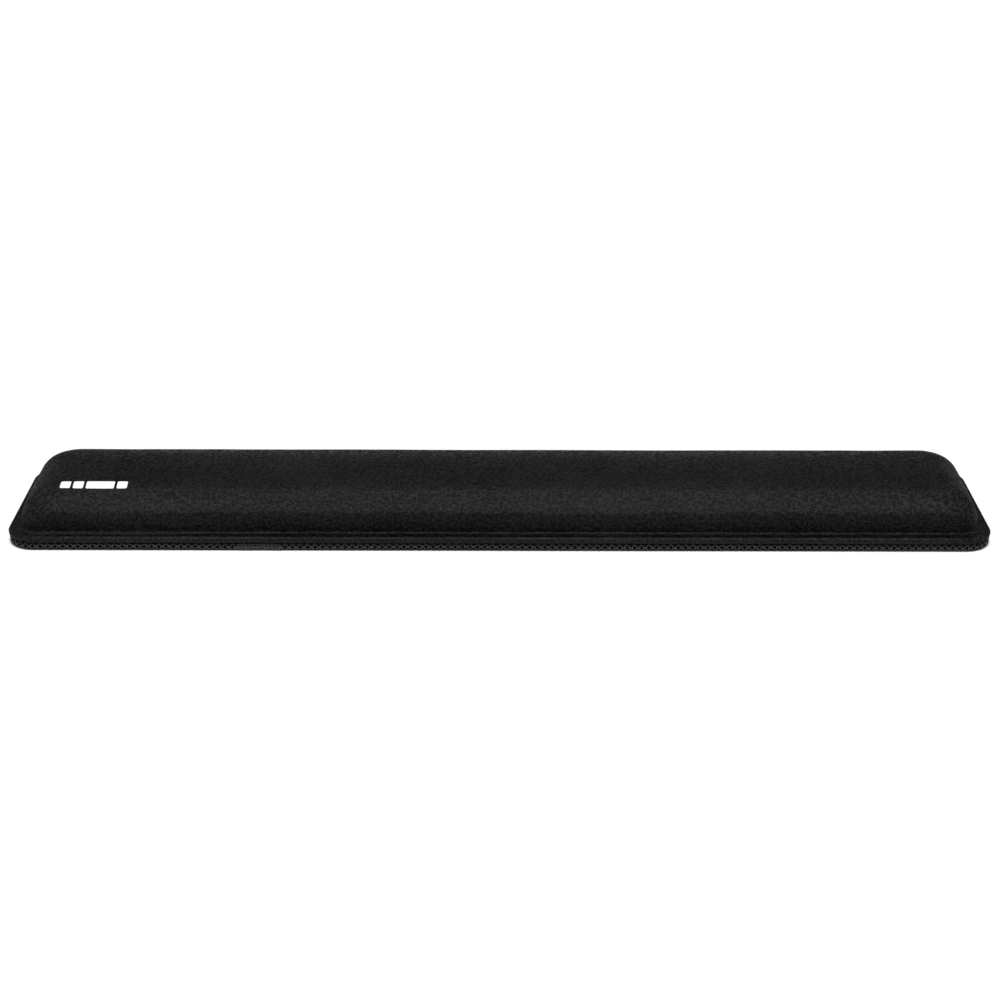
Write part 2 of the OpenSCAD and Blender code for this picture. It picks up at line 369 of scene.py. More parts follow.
ROLL_FROM, ROLL_TO = 300, 90           # the rolled edge's arc in degrees, with 180 pointing outward
ROLL_SQUARENESS = 0.95                 # under 1 makes the rolled edge fuller than an ellipse


def roll_rings(grid, skin, n):
    """The rolled edge's inside, n rings from the tuck to the crest."""
    rings = []
    for angle in np.linspace(ROLL_FROM, ROLL_TO, n):
        c, s = math.cos(math.radians(angle)), math.sin(math.radians(angle))
        c = math.copysign(abs(c) ** ROLL_SQUARENESS, c)
        s = math.copysign(abs(s) ** ROLL_SQUARENESS, s)
        rings.append(edge_ring(grid, ROLL_W + (ROLL_W - skin) * c, ROLL_Z + (ROLL_H - skin) * s))
    return rings


def outer_rings(grid):
    """The cover's outside, from the hem's inner edge to the crown."""
    hem = [(HEM_W, FILM_Z), (PLY_INSET + HEM_BEVEL, FILM_Z), (PLY_INSET, FILM_Z + HEM_BEVEL),
           (PLY_INSET, HEM_Z - HEM_BEVEL), (PLY_INSET + HEM_BEVEL, HEM_Z)]
    rings = [edge_ring(grid, inset, z) for inset, z in hem]
    roll = eased(np.array(ROLL), ROLL_STEPS, False)
    rings += [edge_ring(grid, inset, HEM_Z + z) for inset, z in roll]
    places, heights = smooth_steps(FLANGE, FLANGE_RINGS + 1)
    _, end_heights = smooth_steps(END_FLANGE, FLANGE_RINGS + 1)
    rings += [flange_ring(grid, *step) for step in zip(places[1:], heights[1:], end_heights[1:])]
    rings += [shoulder_ring(grid, a, 0) for a in np.linspace(0, 90, SHOULDER_RINGS + 1)[1:]]
    return rings


def inner_rings(grid, skin):
    """The inside at a depth of skin under the outside, without the crease line."""
    hem = [(HEM_W, FILM_Z + skin), (TUCK + skin, FILM_Z + skin),
           (TUCK + 0.75 * skin, HEM_Z + 0.5 + skin / 4)]
    rings = [edge_ring(grid, inset, z) for inset, z in hem]
    rings += roll_rings(grid, skin, INNER_ROLL_RINGS)
    rings += [flange_ring(grid, place, z - skin, end_z - skin) for place, z, end_z in INNER_FLANGE]
    rings += [shoulder_ring(grid, a, skin) for a in np.linspace(0, 90, INNER_SHOULDER_RINGS)]
    return rings


def uneven(points, size, depth, seed):
    """Smooth random numbers between -depth and depth that change over about size millimetres."""
    shift = Vector((seed * 17.3, seed * 5.1, seed * 9.7))
    return depth * np.array([noise.noise(Vector(p / size) + shift) for p in points])


# The cover is cut a little small and the foam fills it out. A coarse copy of the pad's cloth, held
# round its foot, swells under an even pressure, and the fine meshes follow it.
SWELL_GRID = Grid(arc=3, long=96, short=12)
SWELL_FROM = 0.8                       # place on the flange where the coarse cloth begins
SWELL_SHOULDER_RINGS = 14
SWELL_PRESSURE = 4.0
SWELL_FRAMES, SWELL_QUALITY = 20, 5
SWELL_REACH = 0.9                      # furthest that any point moves, in millimetres
SWELL_Z = FOOT_Z - 1.0                 # nothing moves below this height
HELD = [1, 1, 0.7, 0.4, 0.2, 0.1]      # how firmly the lowest rings are held


def evaluated_points(piece):
    """Points in millimetres and faces of a piece, after its modifiers."""
    mesh = piece.evaluated_get(bpy.context.evaluated_depsgraph_get()).data
    points = np.zeros(3 * len(mesh.vertices))
    mesh.vertices.foreach_get("co", points)
    return points.reshape(-1, 3) / MM, [list(face.vertices) for face in mesh.polygons]


def discard(piece):
    mesh = piece.data
    bpy.data.objects.remove(piece)
    bpy.data.meshes.remove(mesh)


def swollen(points, faces):
    """Points of the coarse cloth after the simulation."""
    piece = mesh_object("Swelling_cloth", points, faces)
    group = piece.vertex_groups.new(name="held")
    for ring, weight in enumerate(HELD):
        first = ring * SWELL_GRID.ring
        group.add(list(range(first, first + SWELL_GRID.ring)), weight, "REPLACE")
    cloth = piece.modifiers.new("Cloth", "CLOTH")
    cloth.settings.quality = SWELL_QUALITY
    cloth.settings.use_pressure = True
    cloth.settings.uniform_pressure_force = SWELL_PRESSURE
    cloth.settings.effector_weights.gravity = 0
    cloth.settings.vertex_group_mass = "held"
    cloth.point_cache.frame_start, cloth.point_cache.frame_end = 1, SWELL_FRAMES
    for frame in range(1, SWELL_FRAMES + 1):
        bpy.context.scene.frame_set(frame)
    moved, _ = evaluated_points(piece)
    bpy.context.scene.frame_set(1)
    discard(piece)
    return moved


def refined(points, faces):
    """The coarse cloth after two rounds of subdivision."""
    piece = mesh_object("Refined_cloth", points, faces)
    piece.modifiers.new("Subdivision", "SUBSURF").levels = 2
    result = evaluated_points(piece)
    discard(piece)
    return result


def swell_rings(grid):
    """The pad's cloth, from just outside its foot to the crown."""
    rings = [flange_ring(grid, place, FOOT_Z, FOOT_Z) for place in (SWELL_FROM, 1)]
    return rings + [shoulder_ring(grid, a, 0) for a in np.linspace(0, 90, SWELL_SHOULDER_RINGS + 1)[1:]]


class Swell:
    """Moves points of the pad as the simulated cloth moves."""

    def __init__(self):
        points, faces = skin_over(SWELL_GRID, swell_rings(SWELL_GRID), 0)
        moved = swollen(points, faces)
        far = np.linalg.norm(moved - points, axis=1).max()
        moved = points + (moved - points) * SWELL_REACH / far
        rest, self.faces = refined(points, faces)
        self.moves = refined(moved, faces)[0] - rest
        self.rest = [Vector(p) for p in rest]
        self.tree = BVHTree.FromPolygons(self.rest, self.faces)

    def move_at(self, point):
        near, _, index, _ = self.tree.find_nearest(point)
        corners = self.faces[index]
        weights = poly_3d_calc([self.rest[k] for k in corners], near)
        return np.dot(weights, self.moves[corners])

    def apply(self, points):
        points = points.copy()
        for k in np.flatnonzero(points[:, 2] > SWELL_Z):
            points[k] += self.move_at(Vector(points[k]))
        return points


def cloth_uv(grid, rings):
    """Places on the flat cloth: as seen from above on the crown, and from there along the cloth."""
    top = rings[-1][:, :2]
    out = outward(grid)
    run = np.zeros(grid.ring)
    rows = [top]
    for above, below in zip(rings[::-1][:-1], rings[::-1][1:]):
        run = run + np.linalg.norm(above - below, axis=1)
        rows.append(top + out * run[:, None])
    inner, _ = cap(grid, rings[-1], 0, 0)
    return np.concatenate(rows[::-1] + [inner[:, :2]]) * MM


cover_grid = Grid(arc=12, long=190, short=26)
outside = outer_rings(cover_grid)
inside = inner_rings(cover_grid, COVER_T)
skin_points, skin_faces = skin_over(cover_grid, outside, 0)
back_points, back_faces = skin_over(cover_grid, inside, COVER_T, len(skin_points))
swell = Swell()
pad = slice((len(outside) - SHOULDER_RINGS) * cover_grid.ring, None)
skin_points[pad] = swell.apply(skin_points[pad])
back_pad = slice((len(inside) - INNER_SHOULDER_RINGS) * cover_grid.ring, None)
back_points[back_pad] = swell.apply(back_points[back_pad])

# The foam is not perfectly even under the cloth. Each row is a size, a depth and a seed, and the
# unevenness sets in over the lowest part of the pad.
PAD_UNEVEN = [(38, 0.16, 1), (9, 0.035, 2)]
PAD_UNEVEN_RISE = 4.0
pad_share = np.clip((skin_points[:, 2] - FOOT_Z) / PAD_UNEVEN_RISE, 0, 1)
for size, depth, seed in PAD_UNEVEN:
    skin_points[:, 2] += uneven(skin_points, size, depth, seed) * pad_share

# the crease line stands higher in some places than in others, and hardly at all near the left end
first_ring = len(outside) - SHOULDER_RINGS - FLANGE_RINGS + CREASE_RING
crease = slice(first_ring * cover_grid.ring, (first_ring + CREASE_RINGS) * cover_grid.ring)
across = np.repeat(np.sin(np.linspace(0, math.pi, CREASE_RINGS)), cover_grid.ring)
faint = 1 / (1 + np.exp((skin_points[crease, 0] + CREASE_FADE_X) / CREASE_FADE_W))
faint *= 1 - np.tile(outward(cover_grid)[:, 0] ** 2, CREASE_RINGS)
rise = uneven(skin_points[crease], CREASE_UNEVEN_SIZE, CREASE_UNEVEN, CREASE_SEED)
skin_points[crease, 2] += across * (rise - CREASE_LOWER - CREASE_FADE * faint)

edge, edge_next = round_ring(cover_grid)
hem_edge = np.stack([edge, len(skin_points) + edge, len(skin_points) + edge_next, edge_next], 1)
cover = mesh_object("Knit_cover", np.concatenate([skin_points, back_points]),
                    np.concatenate([skin_faces, back_faces[:, ::-1], hem_edge]),
                    np.concatenate([cloth_uv(cover_grid, outside), back_points[:, :2] * MM]))

FOAM_GAP = 0.05                        # between the foam and the cover
FOAM_FILM_GAP = 0.01                   # between the foam and the adhesive film

foam_grid = Grid(arc=8, long=90, short=14)
# inside the hem the foam reaches down to the film
foam_rings = [edge_ring(foam_grid, HEM_W + 2 * FOAM_GAP, z)
              for z in (FILM_Z + FOAM_FILM_GAP, HEM_Z + FOAM_GAP)]
foam_rings += inner_rings(foam_grid, COVER_T + FOAM_GAP)
foam_points, foam_faces = skin_over(foam_grid, foam_rings, COVER_T + FOAM_GAP)
foam_pad = slice((len(foam_rings) - INNER_SHOULDER_RINGS) * foam_grid.ring, None)
foam_points[foam_pad] = swell.apply(foam_points[foam_pad])
foam = mesh_object("Foam_core", foam_points,
                   [list(range(foam_grid.ring))[::-1]] + foam_faces.tolist())


# ---------------------------------------------------------------- rubber base

TREAD_PITCH = 4.0
TREAD_DEPTH = 0.22
TREAD_FLAT = 2.2                       # over 1 makes the diamonds flat-topped
TREAD_MARGIN = 0.5                     # plain strip round the tread
TREAD_BEVEL, PINCH_BEVEL, BASE_BEVEL = 0.12, 0.1, 0.15


def tread_z(points):
    """Underside of the rubber: low diamonds that touch the desk, with shallow channels between."""
    u = (points[:, 0] + points[:, 1]) * math.pi / TREAD_PITCH
    v = (points[:, 0] - points[:, 1]) * math.pi / TREAD_PITCH
    proud = np.clip(TREAD_FLAT * np.abs(np.sin(u) * np.sin(v)), 0, 1)
    return TREAD_DEPTH * (1 - proud * proud * (3 - 2 * proud))


def base_rings(grid):
    """From the underside's edge, round the pressed-in rim, to the top."""
    profile = [(BITE + TREAD_MARGIN, 0.0), (BITE + TREAD_BEVEL, 0.0), (BITE, TREAD_BEVEL),
               (BITE, PINCH - PINCH_BEVEL), (BITE - PINCH_BEVEL, PINCH),
               (PLY_INSET + BASE_BEVEL, PINCH), (PLY_INSET, PINCH + BASE_BEVEL),
               (PLY_INSET, BASE_T - BASE_BEVEL), (PLY_INSET + BASE_BEVEL, BASE_T)]
    return [edge_ring(grid, inset, z) for inset, z in profile]


base_grid = Grid(arc=10, long=620, short=96)
rings = base_rings(base_grid)
base_points = np.concatenate(rings)
top_face = list(range(len(base_points) - base_grid.ring, len(base_points)))
under_points, under_faces = cap(base_grid, rings[0], len(base_points), 0)
under_points[:, 2] = tread_z(under_points)
side_faces = wall(base_grid, len(rings), 0)
base = mesh_object("Rubber_base", np.concatenate([base_points, under_points]),
                   [top_face] + side_faces.tolist() + under_faces[:, ::-1].tolist())


# ---------------------------------------------------------------- overlock stitching

STITCH_PITCH = 3.3


def rim_curve():
    """The outer edge from the left end of its straight wrist side: points, normals and distances."""
    grid = Grid(arc=60, long=400, short=60)
    loop = outline(grid, [0, 0, 0], CORNER_R, CORNER_R)
    normals = outward(grid)
    loop, normals = np.roll(loop, -grid.arc, 0), np.roll(normals, -grid.arc, 0)
    loop = np.concatenate([loop, loop[:1]])
    normals = np.concatenate([normals, normals[:1]])
    return loop, normals, distances(loop)


rim_loop, rim_normals, rim_steps = rim_curve()
RIM_LENGTH = rim_steps[-1]
STITCHES = round(RIM_LENGTH / STITCH_PITCH)
PITCH = RIM_LENGTH / STITCHES


def on_rim(along, inset, z):
    """Points at distances along the rim, insets from the outer edge and heights."""
    along = np.mod(along, RIM_LENGTH)
    x, y, nx, ny = (np.interp(along, rim_steps, values)
                    for values in (*rim_loop.T, *rim_normals.T))
    size = np.hypot(nx, ny)
    return np.stack([x - nx / size * inset, y - ny / size * inset, z], 1)


def tube(path, radius, sides, closed):
    """A tube along a path, without twist: points, faces and a map along and round it."""
    n = len(path)
    ahead = np.roll(path, -1, 0) - np.roll(path, 1, 0)
    if not closed:
        ahead[0], ahead[-1] = path[1] - path[0], path[-1] - path[-2]
    ahead /= np.linalg.norm(ahead, axis=1)[:, None]
    side = np.zeros((n, 3))
    first = np.cross(ahead[0], (0, 0, 1.0))
    side[0] = first / np.linalg.norm(first)
    for k in range(1, n):
        s = side[k - 1] - ahead[k] * np.dot(side[k - 1], ahead[k])
        side[k] = s / np.linalg.norm(s)
    other = np.cross(ahead, side)
    turn = np.zeros(n)
    if closed:
        # the frame comes back turned by some angle, which is spread over the whole length
        s = side[-1] - ahead[0] * np.dot(side[-1], ahead[0])
        off = math.atan2(np.dot(s, other[0]), np.dot(s, side[0]))
        turn = -off * np.arange(n) / n
    angles = 2 * math.pi * np.arange(sides) / sides
    a = turn[:, None] + angles[None]
    rings = (path[:, None] + radius * (np.cos(a)[..., None] * side[:, None]
                                       + np.sin(a)[..., None] * other[:, None]))
    points = rings.reshape(-1, 3)
    spans = n if closed else n - 1
    k = np.arange(spans)[:, None]
    j = np.arange(sides)[None]
    here, there = k * sides, ((k + 1) % n) * sides
    faces = np.stack([here + j, here + (j + 1) % sides, there + (j + 1) % sides, there + j], -1)
    faces = faces.reshape(-1, 4).tolist()
    if not closed:
        faces += [list(range(sides))[::-1], [(n - 1) * sides + q for q in range(sides)]]
    run = distances(path) * MM
    uv = np.stack([np.repeat(run, sides), np.tile(angles / (2 * math.pi), n)], 1)
    return points, faces, uv


def merged(parts):
    """Several (points, faces, uv) as one."""
    points, faces, uvs, start = [], [], [], 0
    for p, f, uv in parts:
        points.append(p)
        faces += [[v + start for v in face] for face in f]
        uvs.append(uv)
        start += len(p)
    return np.concatenate(points), faces, np.concatenate(uvs)


STITCH_SEED = 5
rng = np.random.default_rng(STITCH_SEED)
THREAD_R = 0.2
THREAD_SIDES, THREAD_STEPS = 7, 3      # sides of a thread, and steps between two of a stitch's points
THREAD_GAP = 0.03                      # between a thread and what it lies on
LOWEST_Z = THREAD_R + THREAD_GAP       # no thread dips under the desk
FACE_INSET = STITCH_INSET + THREAD_R + 0.02   # middle of a thread that lies on the rim's edge
UNDER_Z = PINCH - THREAD_R - THREAD_GAP       # and of one that lies on its underside
LOOP_Z = 1.85                          # height at which the two loopers' loops hook together
CROSSING = 0.3                         # how far each loop reaches past the other
FACE_LOW, FACE_HIGH = 0.8, HEM_Z - 0.4  # heights between which a thread lies on the rim's edge

# How the stitches differ: loops lean along the rim and sit higher or lower, in waves round it and
# by chance. Leans are shares of a stitch and tensions are heights.
LEAN, LEAN_WAVES, LEAN_SPREAD = 0.16, 9, 0.045
TENSION, TENSION_WAVES, TENSION_SPREAD = 0.3, 7, 0.09

# One stitch of each thread: place along the stitch (0 to 1), inset and height
UPPER_LOOP = [(0.00, NEEDLE_INSET + 0.1, UNDER_Z), (0.05, 1.7, UNDER_Z - 0.02),
              (0.10, FACE_INSET + 0.22, UNDER_Z + 0.05), (0.15, FACE_INSET, 0.9),
              (0.36, FACE_INSET - 0.02, LOOP_Z - 0.25), (0.50, FACE_INSET - 0.04, LOOP_Z + CROSSING),
              (0.64, FACE_INSET - 0.02, LOOP_Z - 0.25), (0.85, FACE_INSET, 0.9),
              (0.90, FACE_INSET + 0.22, UNDER_Z + 0.05), (0.95, 1.7, UNDER_Z - 0.02)]
LOWER_LOOP = [(0.00, PLY_INSET + 0.35, HEM_Z + 0.12), (0.13, FACE_INSET + 0.05, HEM_Z - 0.32),
              (0.34, FACE_INSET + 0.06, LOOP_Z + 0.25), (0.50, FACE_INSET + 0.1, LOOP_Z - CROSSING),
              (0.66, FACE_INSET + 0.06, LOOP_Z + 0.25), (0.87, FACE_INSET + 0.05, HEM_Z - 0.32)]
NEEDLE_STITCH = [(0.00, NEEDLE_INSET + 0.25, PINCH + 0.15), (0.2, NEEDLE_INSET + 0.25, UNDER_Z - 0.02),
                 (0.5, NEEDLE_INSET + 0.25, UNDER_Z - 0.06), (0.8, NEEDLE_INSET + 0.25, UNDER_Z - 0.02)]


def sewn(stitch, first, count, shift=0.0, proud=0.0, looseness=1.0):
    """Points of count stitches from stitch number first, each a little different from the next."""
    stitch = np.array(stitch)
    number = first + np.arange(count)[:, None] + shift
    along = number + stitch[None, :, 0]
    lean = LEAN * np.sin(2 * math.pi * along / STITCHES * LEAN_WAVES)
    # only what lies on the rim's edge moves, and its middle the most
    on_face = np.clip((stitch[None, :, 2] - FACE_LOW) * (FACE_HIGH - stitch[None, :, 2]), 0, 1)
    along = along + on_face * (lean + looseness * rng.normal(0, LEAN_SPREAD, (count, 1)))
    tension = TENSION * np.sin(2 * math.pi * along / STITCHES * TENSION_WAVES)
    z = stitch[None, :, 2] + on_face * (tension + looseness * rng.normal(0, TENSION_SPREAD, (count, 1)))
    inset = stitch[None, :, 1] - proud * np.ones((count, 1))
    return on_rim((along * PITCH).ravel(), inset.ravel(), z.ravel())


def thread_object(name, stitch, extra=()):
    """A thread sewn once round the rim, with extra stitches over it."""
    paths = [(eased(sewn(stitch, 0, STITCHES), THREAD_STEPS, True), True)]
    paths += [(eased(path, THREAD_STEPS, False), False) for path in extra]
    for path, _ in paths:
        path[:, 2] = np.maximum(path[:, 2], LOWEST_Z)
    tubes = [tube(path, THREAD_R, THREAD_SIDES, closed) for path, closed in paths]
    return mesh_object(name, *merged(tubes))


# The seam's start and end overlap for a few stitches on the wrist side, left of the middle. The
# second layer lies between the first one's stitches, a little proud of them, and is looser.
OVERLAP_X, OVERLAP_W = -107.0, 20.0
OVERLAP_LAY = {"shift": 0.5, "proud": 0.12, "looseness": 1.8}
overlap_first = int((OVERLAP_X - OVERLAP_W / 2 + HALF_L - CORNER_R) / PITCH)
overlap_count = round(OVERLAP_W / PITCH)


def looper_thread(name, stitch):
    return thread_object(name, stitch, [sewn(stitch, overlap_first, overlap_count, **OVERLAP_LAY)])


upper_thread = looper_thread("Upper_looper_thread", UPPER_LOOP)
lower_thread = looper_thread("Lower_looper_thread", LOWER_LOOP)
needle_thread = thread_object("Needle_thread", NEEDLE_STITCH)


# ---------------------------------------------------------------- printed mark

BAR_GAP = 1.2
BAR_SHARES = [4, 4, 11, 4]
BAR_R = 0.7
BAR_COLUMN_W, BAR_ROWS = 0.4, 16
LEAST_COLUMNS = 6
DROP_Z = HEIGHT + 10.0                 # from where each point of a bar is dropped onto the cover
PRINT_PROUD, PRINT_SUNK = 0.06, 0.03   # how far the print stands out of the cloth and soaks in


def bar_grid(x, w, y, d, columns, rows):
    """Points of a bar with round corners, as rows from its wrist side to its keyboard side."""
    bend = np.sin(np.linspace(-math.pi / 2, math.pi / 2, rows))
    ys = y + d / 2 * bend
    over = np.clip(np.abs(ys - y) - (d / 2 - BAR_R), 0, BAR_R)
    half = w / 2 - BAR_R + np.sqrt(BAR_R ** 2 - over ** 2)
    xs = x + half[:, None] * np.linspace(-1, 1, columns)[None]
    return np.stack([xs, np.repeat(ys[:, None], columns, 1)], -1)


def print_bar(tree, x, w, y, d):
    """A closed film on the cover: top and bottom grids joined round the edge."""
    columns, rows = max(LEAST_COLUMNS, int(w / BAR_COLUMN_W)), BAR_ROWS
    flat = bar_grid(x, w, y, d, columns, rows).reshape(-1, 2)
    low, high = [], []
    for px, py in flat:
        hit, normal, _, _ = tree.ray_cast(Vector((px, py, DROP_Z)), Vector((0, 0, -1)))
        low.append(hit - normal * PRINT_SUNK)
        high.append(hit + normal * PRINT_PROUD)
    n = rows * columns
    index = np.arange(n).reshape(rows, columns)
    quads = np.stack([index[:-1, :-1], index[:-1, 1:], index[1:, 1:], index[1:, :-1]], -1)
    quads = quads.reshape(-1, 4)
    rim = np.concatenate([index[0, :], index[1:, -1], index[-1, -2::-1], index[-2:0:-1, 0]])
    ahead = np.roll(rim, -1)
    sides = np.stack([rim, ahead, ahead + n, rim + n], 1)
    faces = np.concatenate([quads + n, quads[:, ::-1], sides])
    uv = np.concatenate([flat, flat]) * MM
    return np.array(low + high), faces.tolist(), uv


cover_tree = BVHTree.FromPolygons(skin_points.tolist(), skin_faces.tolist())
mark_y = (mark_low[1] + mark_high[1]) / 2
mark_d = mark_high[1] - mark_low[1]
bar_unit = (mark_high[0] - mark_low[0] - BAR_GAP * (len(BAR_SHARES) - 1)) / sum(BAR_SHARES)
bars, left = [], mark_low[0]
for share in BAR_SHARES:
    bars.append(print_bar(cover_tree, left + share * bar_unit / 2, share * bar_unit, mark_y, mark_d))
    left += share * bar_unit + BAR_GAP
mark = mesh_object("Printed_mark", *merged(bars), smooth=False)


# ---------------------------------------------------------------- materials

class Shader:
    """A Principled material whose nodes are made by short calls. An input called i0 is the first."""

    def __init__(self, name, **settings):
        self.material = bpy.data.materials.new(name)
        self.material.use_nodes = True
        self.tree = self.material.node_tree
        self.shader = self.tree.nodes["Principled BSDF"]
        for key, value in settings.items():
            self.shader.inputs[key.replace("_", " ")].default_value = value

    def node(self, kind, attributes=None, **inputs):
        made = self.tree.nodes.new("ShaderNode" + kind)
        for key, value in (attributes or {}).items():
            setattr(made, key, value)
        for key, value in inputs.items():
            place = int(key[1:]) if key[1:].isdigit() else key.replace("_", " ")
            socket = made.inputs[place]
            if isinstance(value, bpy.types.NodeSocket):
                self.tree.links.new(value, socket)
            else:
                socket.default_value = value
        return made

    def place(self):
        """Places in the piece, in metres."""
        return self.node("TexCoord").outputs["Object"]

    def map_places(self):
        """Places along and across the piece's own map."""
        split = self.node("SeparateXYZ", None, Vector=self.node("TexCoord").outputs["UV"])
        return split.outputs[0], split.outputs[1]

    def math(self, operation, a, b=0.0):
        return self.node("Math", {"operation": operation}, i0=a, i1=b).outputs[0]

    def waves(self, value, length):
        """A sine wave of value, a place in metres, with a length in millimetres."""
        return self.math("SINE", self.math("MULTIPLY", value, 2 * math.pi / (length * MM)))

    def spread(self, value, low, high, to_low, to_high):
        """A value from to_low to to_high, as another goes from low to high."""
        made = self.node("MapRange", None, Value=value, From_Min=low, From_Max=high,
                         To_Min=to_low, To_Max=to_high)
        return made.outputs[0]

    def noise(self, coordinates, scale, detail):
        return self.node("TexNoise", None, Vector=coordinates, Scale=scale, Detail=detail).outputs[0]

    def ramp(self, value, low, high):
        """A colour between low and high. The Mix node's inputs 6 and 7 and its output 2 are colours."""
        made = self.node("Mix", {"data_type": "RGBA"}, Factor=value, i6=(*low, 1), i7=(*high, 1))
        return made.outputs[2]

    def bump(self, height, depth, strength, over=None):
        """A bump of a depth in millimetres, on top of another one."""
        made = self.node("Bump", None, Height=height, Distance=depth * MM, Strength=strength)
        if over is not None:
            self.tree.links.new(over, made.inputs["Normal"])
        return made.outputs[0]

    def set(self, socket, value):
        self.tree.links.new(value, self.shader.inputs[socket])


# The two colours that each material mixes
KNIT_COLOURS = (0.0012, 0.0012, 0.0013), (0.0142, 0.0142, 0.0147)
THREAD_COLOURS = (0.012, 0.012, 0.0123), (0.11, 0.11, 0.112)
RUBBER_COLOURS = (0.0025, 0.0025, 0.0027), (0.006, 0.006, 0.0062)
FOAM_COLOURS = (0.72, 0.68, 0.56), (0.84, 0.81, 0.71)
FILM_COLOURS = (0.5, 0.46, 0.32), (0.66, 0.62, 0.47)
PRINT_COLOURS = (0.74, 0.74, 0.72), (0.9, 0.9, 0.88)
FLOOR_COLOURS = (0.86, 0.86, 0.86), (0.88, 0.88, 0.88)

# Lengths in millimetres, and the scales of noises in cells per metre
WALE, COURSE = 0.42, 0.34              # lengths of the fine-gauge knit's waves
KNIT_GRAIN, KNIT_PATCHES = 850, 28     # scales of its specks and of its lighter patches
SPECK_RANGE = 0.41, 0.61               # what of the grain's noise goes from dark to light
SPECK_SHARE = 0.8                      # how far a light speck goes towards the lighter colour
PATCH_RANGE = -0.05, 0.25              # and how much further the patches take it
GLOSSY, MATT = 0.28, 0.58              # roughness of the light and the dark specks
STRETCHED_X, STRETCHED_W = 196.0, 16.0  # where the cloth starts to look stretched, and how gradually
STRETCHED_ROUGHER = 0.35
PLIES, PLY_TURN = 2, 0.9               # plies of a thread and the length of their full turn
THREAD_FUZZ = 4200
RUBBER_PORES, RUBBER_DUST = 2600, 55
FOAM_CELLS, FOAM_TINT = 1500, 30
FILM_RIPPLE = 240
PRINT_WEAR = 1500
FLOOR_TINT = 3


def knit_material():
    s = Shader("Black_knit", Specular_IOR_Level=0.12, Sheen_Weight=0.02, Sheen_Roughness=0.3)
    along, across = s.map_places()
    wales, courses = s.waves(along, WALE), s.waves(across, COURSE)
    knit = s.math("MULTIPLY", s.math("ABSOLUTE", wales), s.math("ABSOLUTE", courses))
    place = s.place()
    grain = s.noise(place, KNIT_GRAIN, detail=1)
    patches = s.noise(place, KNIT_PATCHES, detail=3)
    speckle = s.spread(grain, *SPECK_RANGE, 0, 1)
    tone = s.math("MULTIPLY", speckle, SPECK_SHARE)
    tone = s.math("ADD", tone, s.spread(patches, 0.3, 0.7, *PATCH_RANGE))
    s.set("Base Color", s.ramp(tone, *KNIT_COLOURS))
    # the cloth is stretched round the ends, where its stitches open and it looks rougher
    x = s.node("SeparateXYZ", None, Vector=place).outputs[0]
    ends = s.spread(s.math("ABSOLUTE", x), STRETCHED_X * MM, (STRETCHED_X + STRETCHED_W) * MM, 0, 1)
    rougher = s.math("MULTIPLY", ends, STRETCHED_ROUGHER)
    s.set("Roughness", s.math("ADD", s.spread(speckle, 0, 1, MATT, GLOSSY), rougher))
    fine = s.bump(knit, depth=0.06, strength=0.5)
    s.set("Normal", s.bump(speckle, depth=0.2, strength=0.8, over=fine))
    return s.material


def thread_material():
    s = Shader("Black_thread", Roughness=0.62, Specular_IOR_Level=0.3, Sheen_Weight=0.12,
               Sheen_Roughness=0.4)
    along, around = s.map_places()
    # the plies are twisted together
    turns = s.math("MULTIPLY", along, 1 / (PLY_TURN * MM))
    twist = s.math("ADD", turns, s.math("MULTIPLY", around, PLIES))
    ply = s.math("SINE", s.math("MULTIPLY", twist, 2 * math.pi))
    fuzz = s.noise(s.place(), THREAD_FUZZ, detail=2)
    s.set("Base Color", s.ramp(fuzz, *THREAD_COLOURS))
    twisted = s.bump(ply, depth=0.06, strength=0.8)
    s.set("Normal", s.bump(fuzz, depth=0.05, strength=0.6, over=twisted))
    return s.material


def rubber_material():
    s = Shader("Black_rubber", Specular_IOR_Level=0.06)
    place = s.place()
    pores = s.noise(place, RUBBER_PORES, detail=3)
    dust = s.noise(place, RUBBER_DUST, detail=4)
    s.set("Base Color", s.ramp(s.spread(dust, 0.35, 0.7, 0, 1), *RUBBER_COLOURS))
    s.set("Roughness", s.spread(dust, 0.3, 0.7, 0.78, 0.92))
    s.set("Normal", s.bump(pores, depth=0.08, strength=0.6))
    return s.material


def foam_material():
    s = Shader("Memory_foam", Roughness=0.9, Specular_IOR_Level=0.25)
    place = s.place()
    cells = s.node("TexVoronoi", None, Vector=place, Scale=FOAM_CELLS).outputs["Distance"]
    s.set("Base Color", s.ramp(s.noise(place, FOAM_TINT, detail=3), *FOAM_COLOURS))
    s.set("Normal", s.bump(cells, depth=0.2, strength=0.7))
    return s.material


def film_material():
    s = Shader("Hot_melt_film", Roughness=0.45, Specular_IOR_Level=0.5)
    ripple = s.noise(s.place(), FILM_RIPPLE, detail=4)
    s.set("Base Color", s.ramp(ripple, *FILM_COLOURS))
    s.set("Normal", s.bump(ripple, depth=0.1, strength=0.5))
    return s.material


def print_material():
    s = Shader("White_print", Roughness=0.55, Specular_IOR_Level=0.35)
    worn = s.noise(s.place(), PRINT_WEAR, detail=3)
    s.set("Base Color", s.ramp(s.spread(worn, 0.3, 0.6, 0, 1), *PRINT_COLOURS))
    wales = s.bump(s.waves(s.map_places()[0], WALE), depth=0.03, strength=0.4)
    s.set("Normal", s.bump(worn, depth=0.06, strength=0.5, over=wales))
    return s.material


def floor_material():
    s = Shader("Pale_floor", Roughness=0.9, Specular_IOR_Level=0.0)
    s.set("Base Color", s.ramp(s.noise(s.place(), FLOOR_TINT, detail=2), *FLOOR_COLOURS))
    return s.material


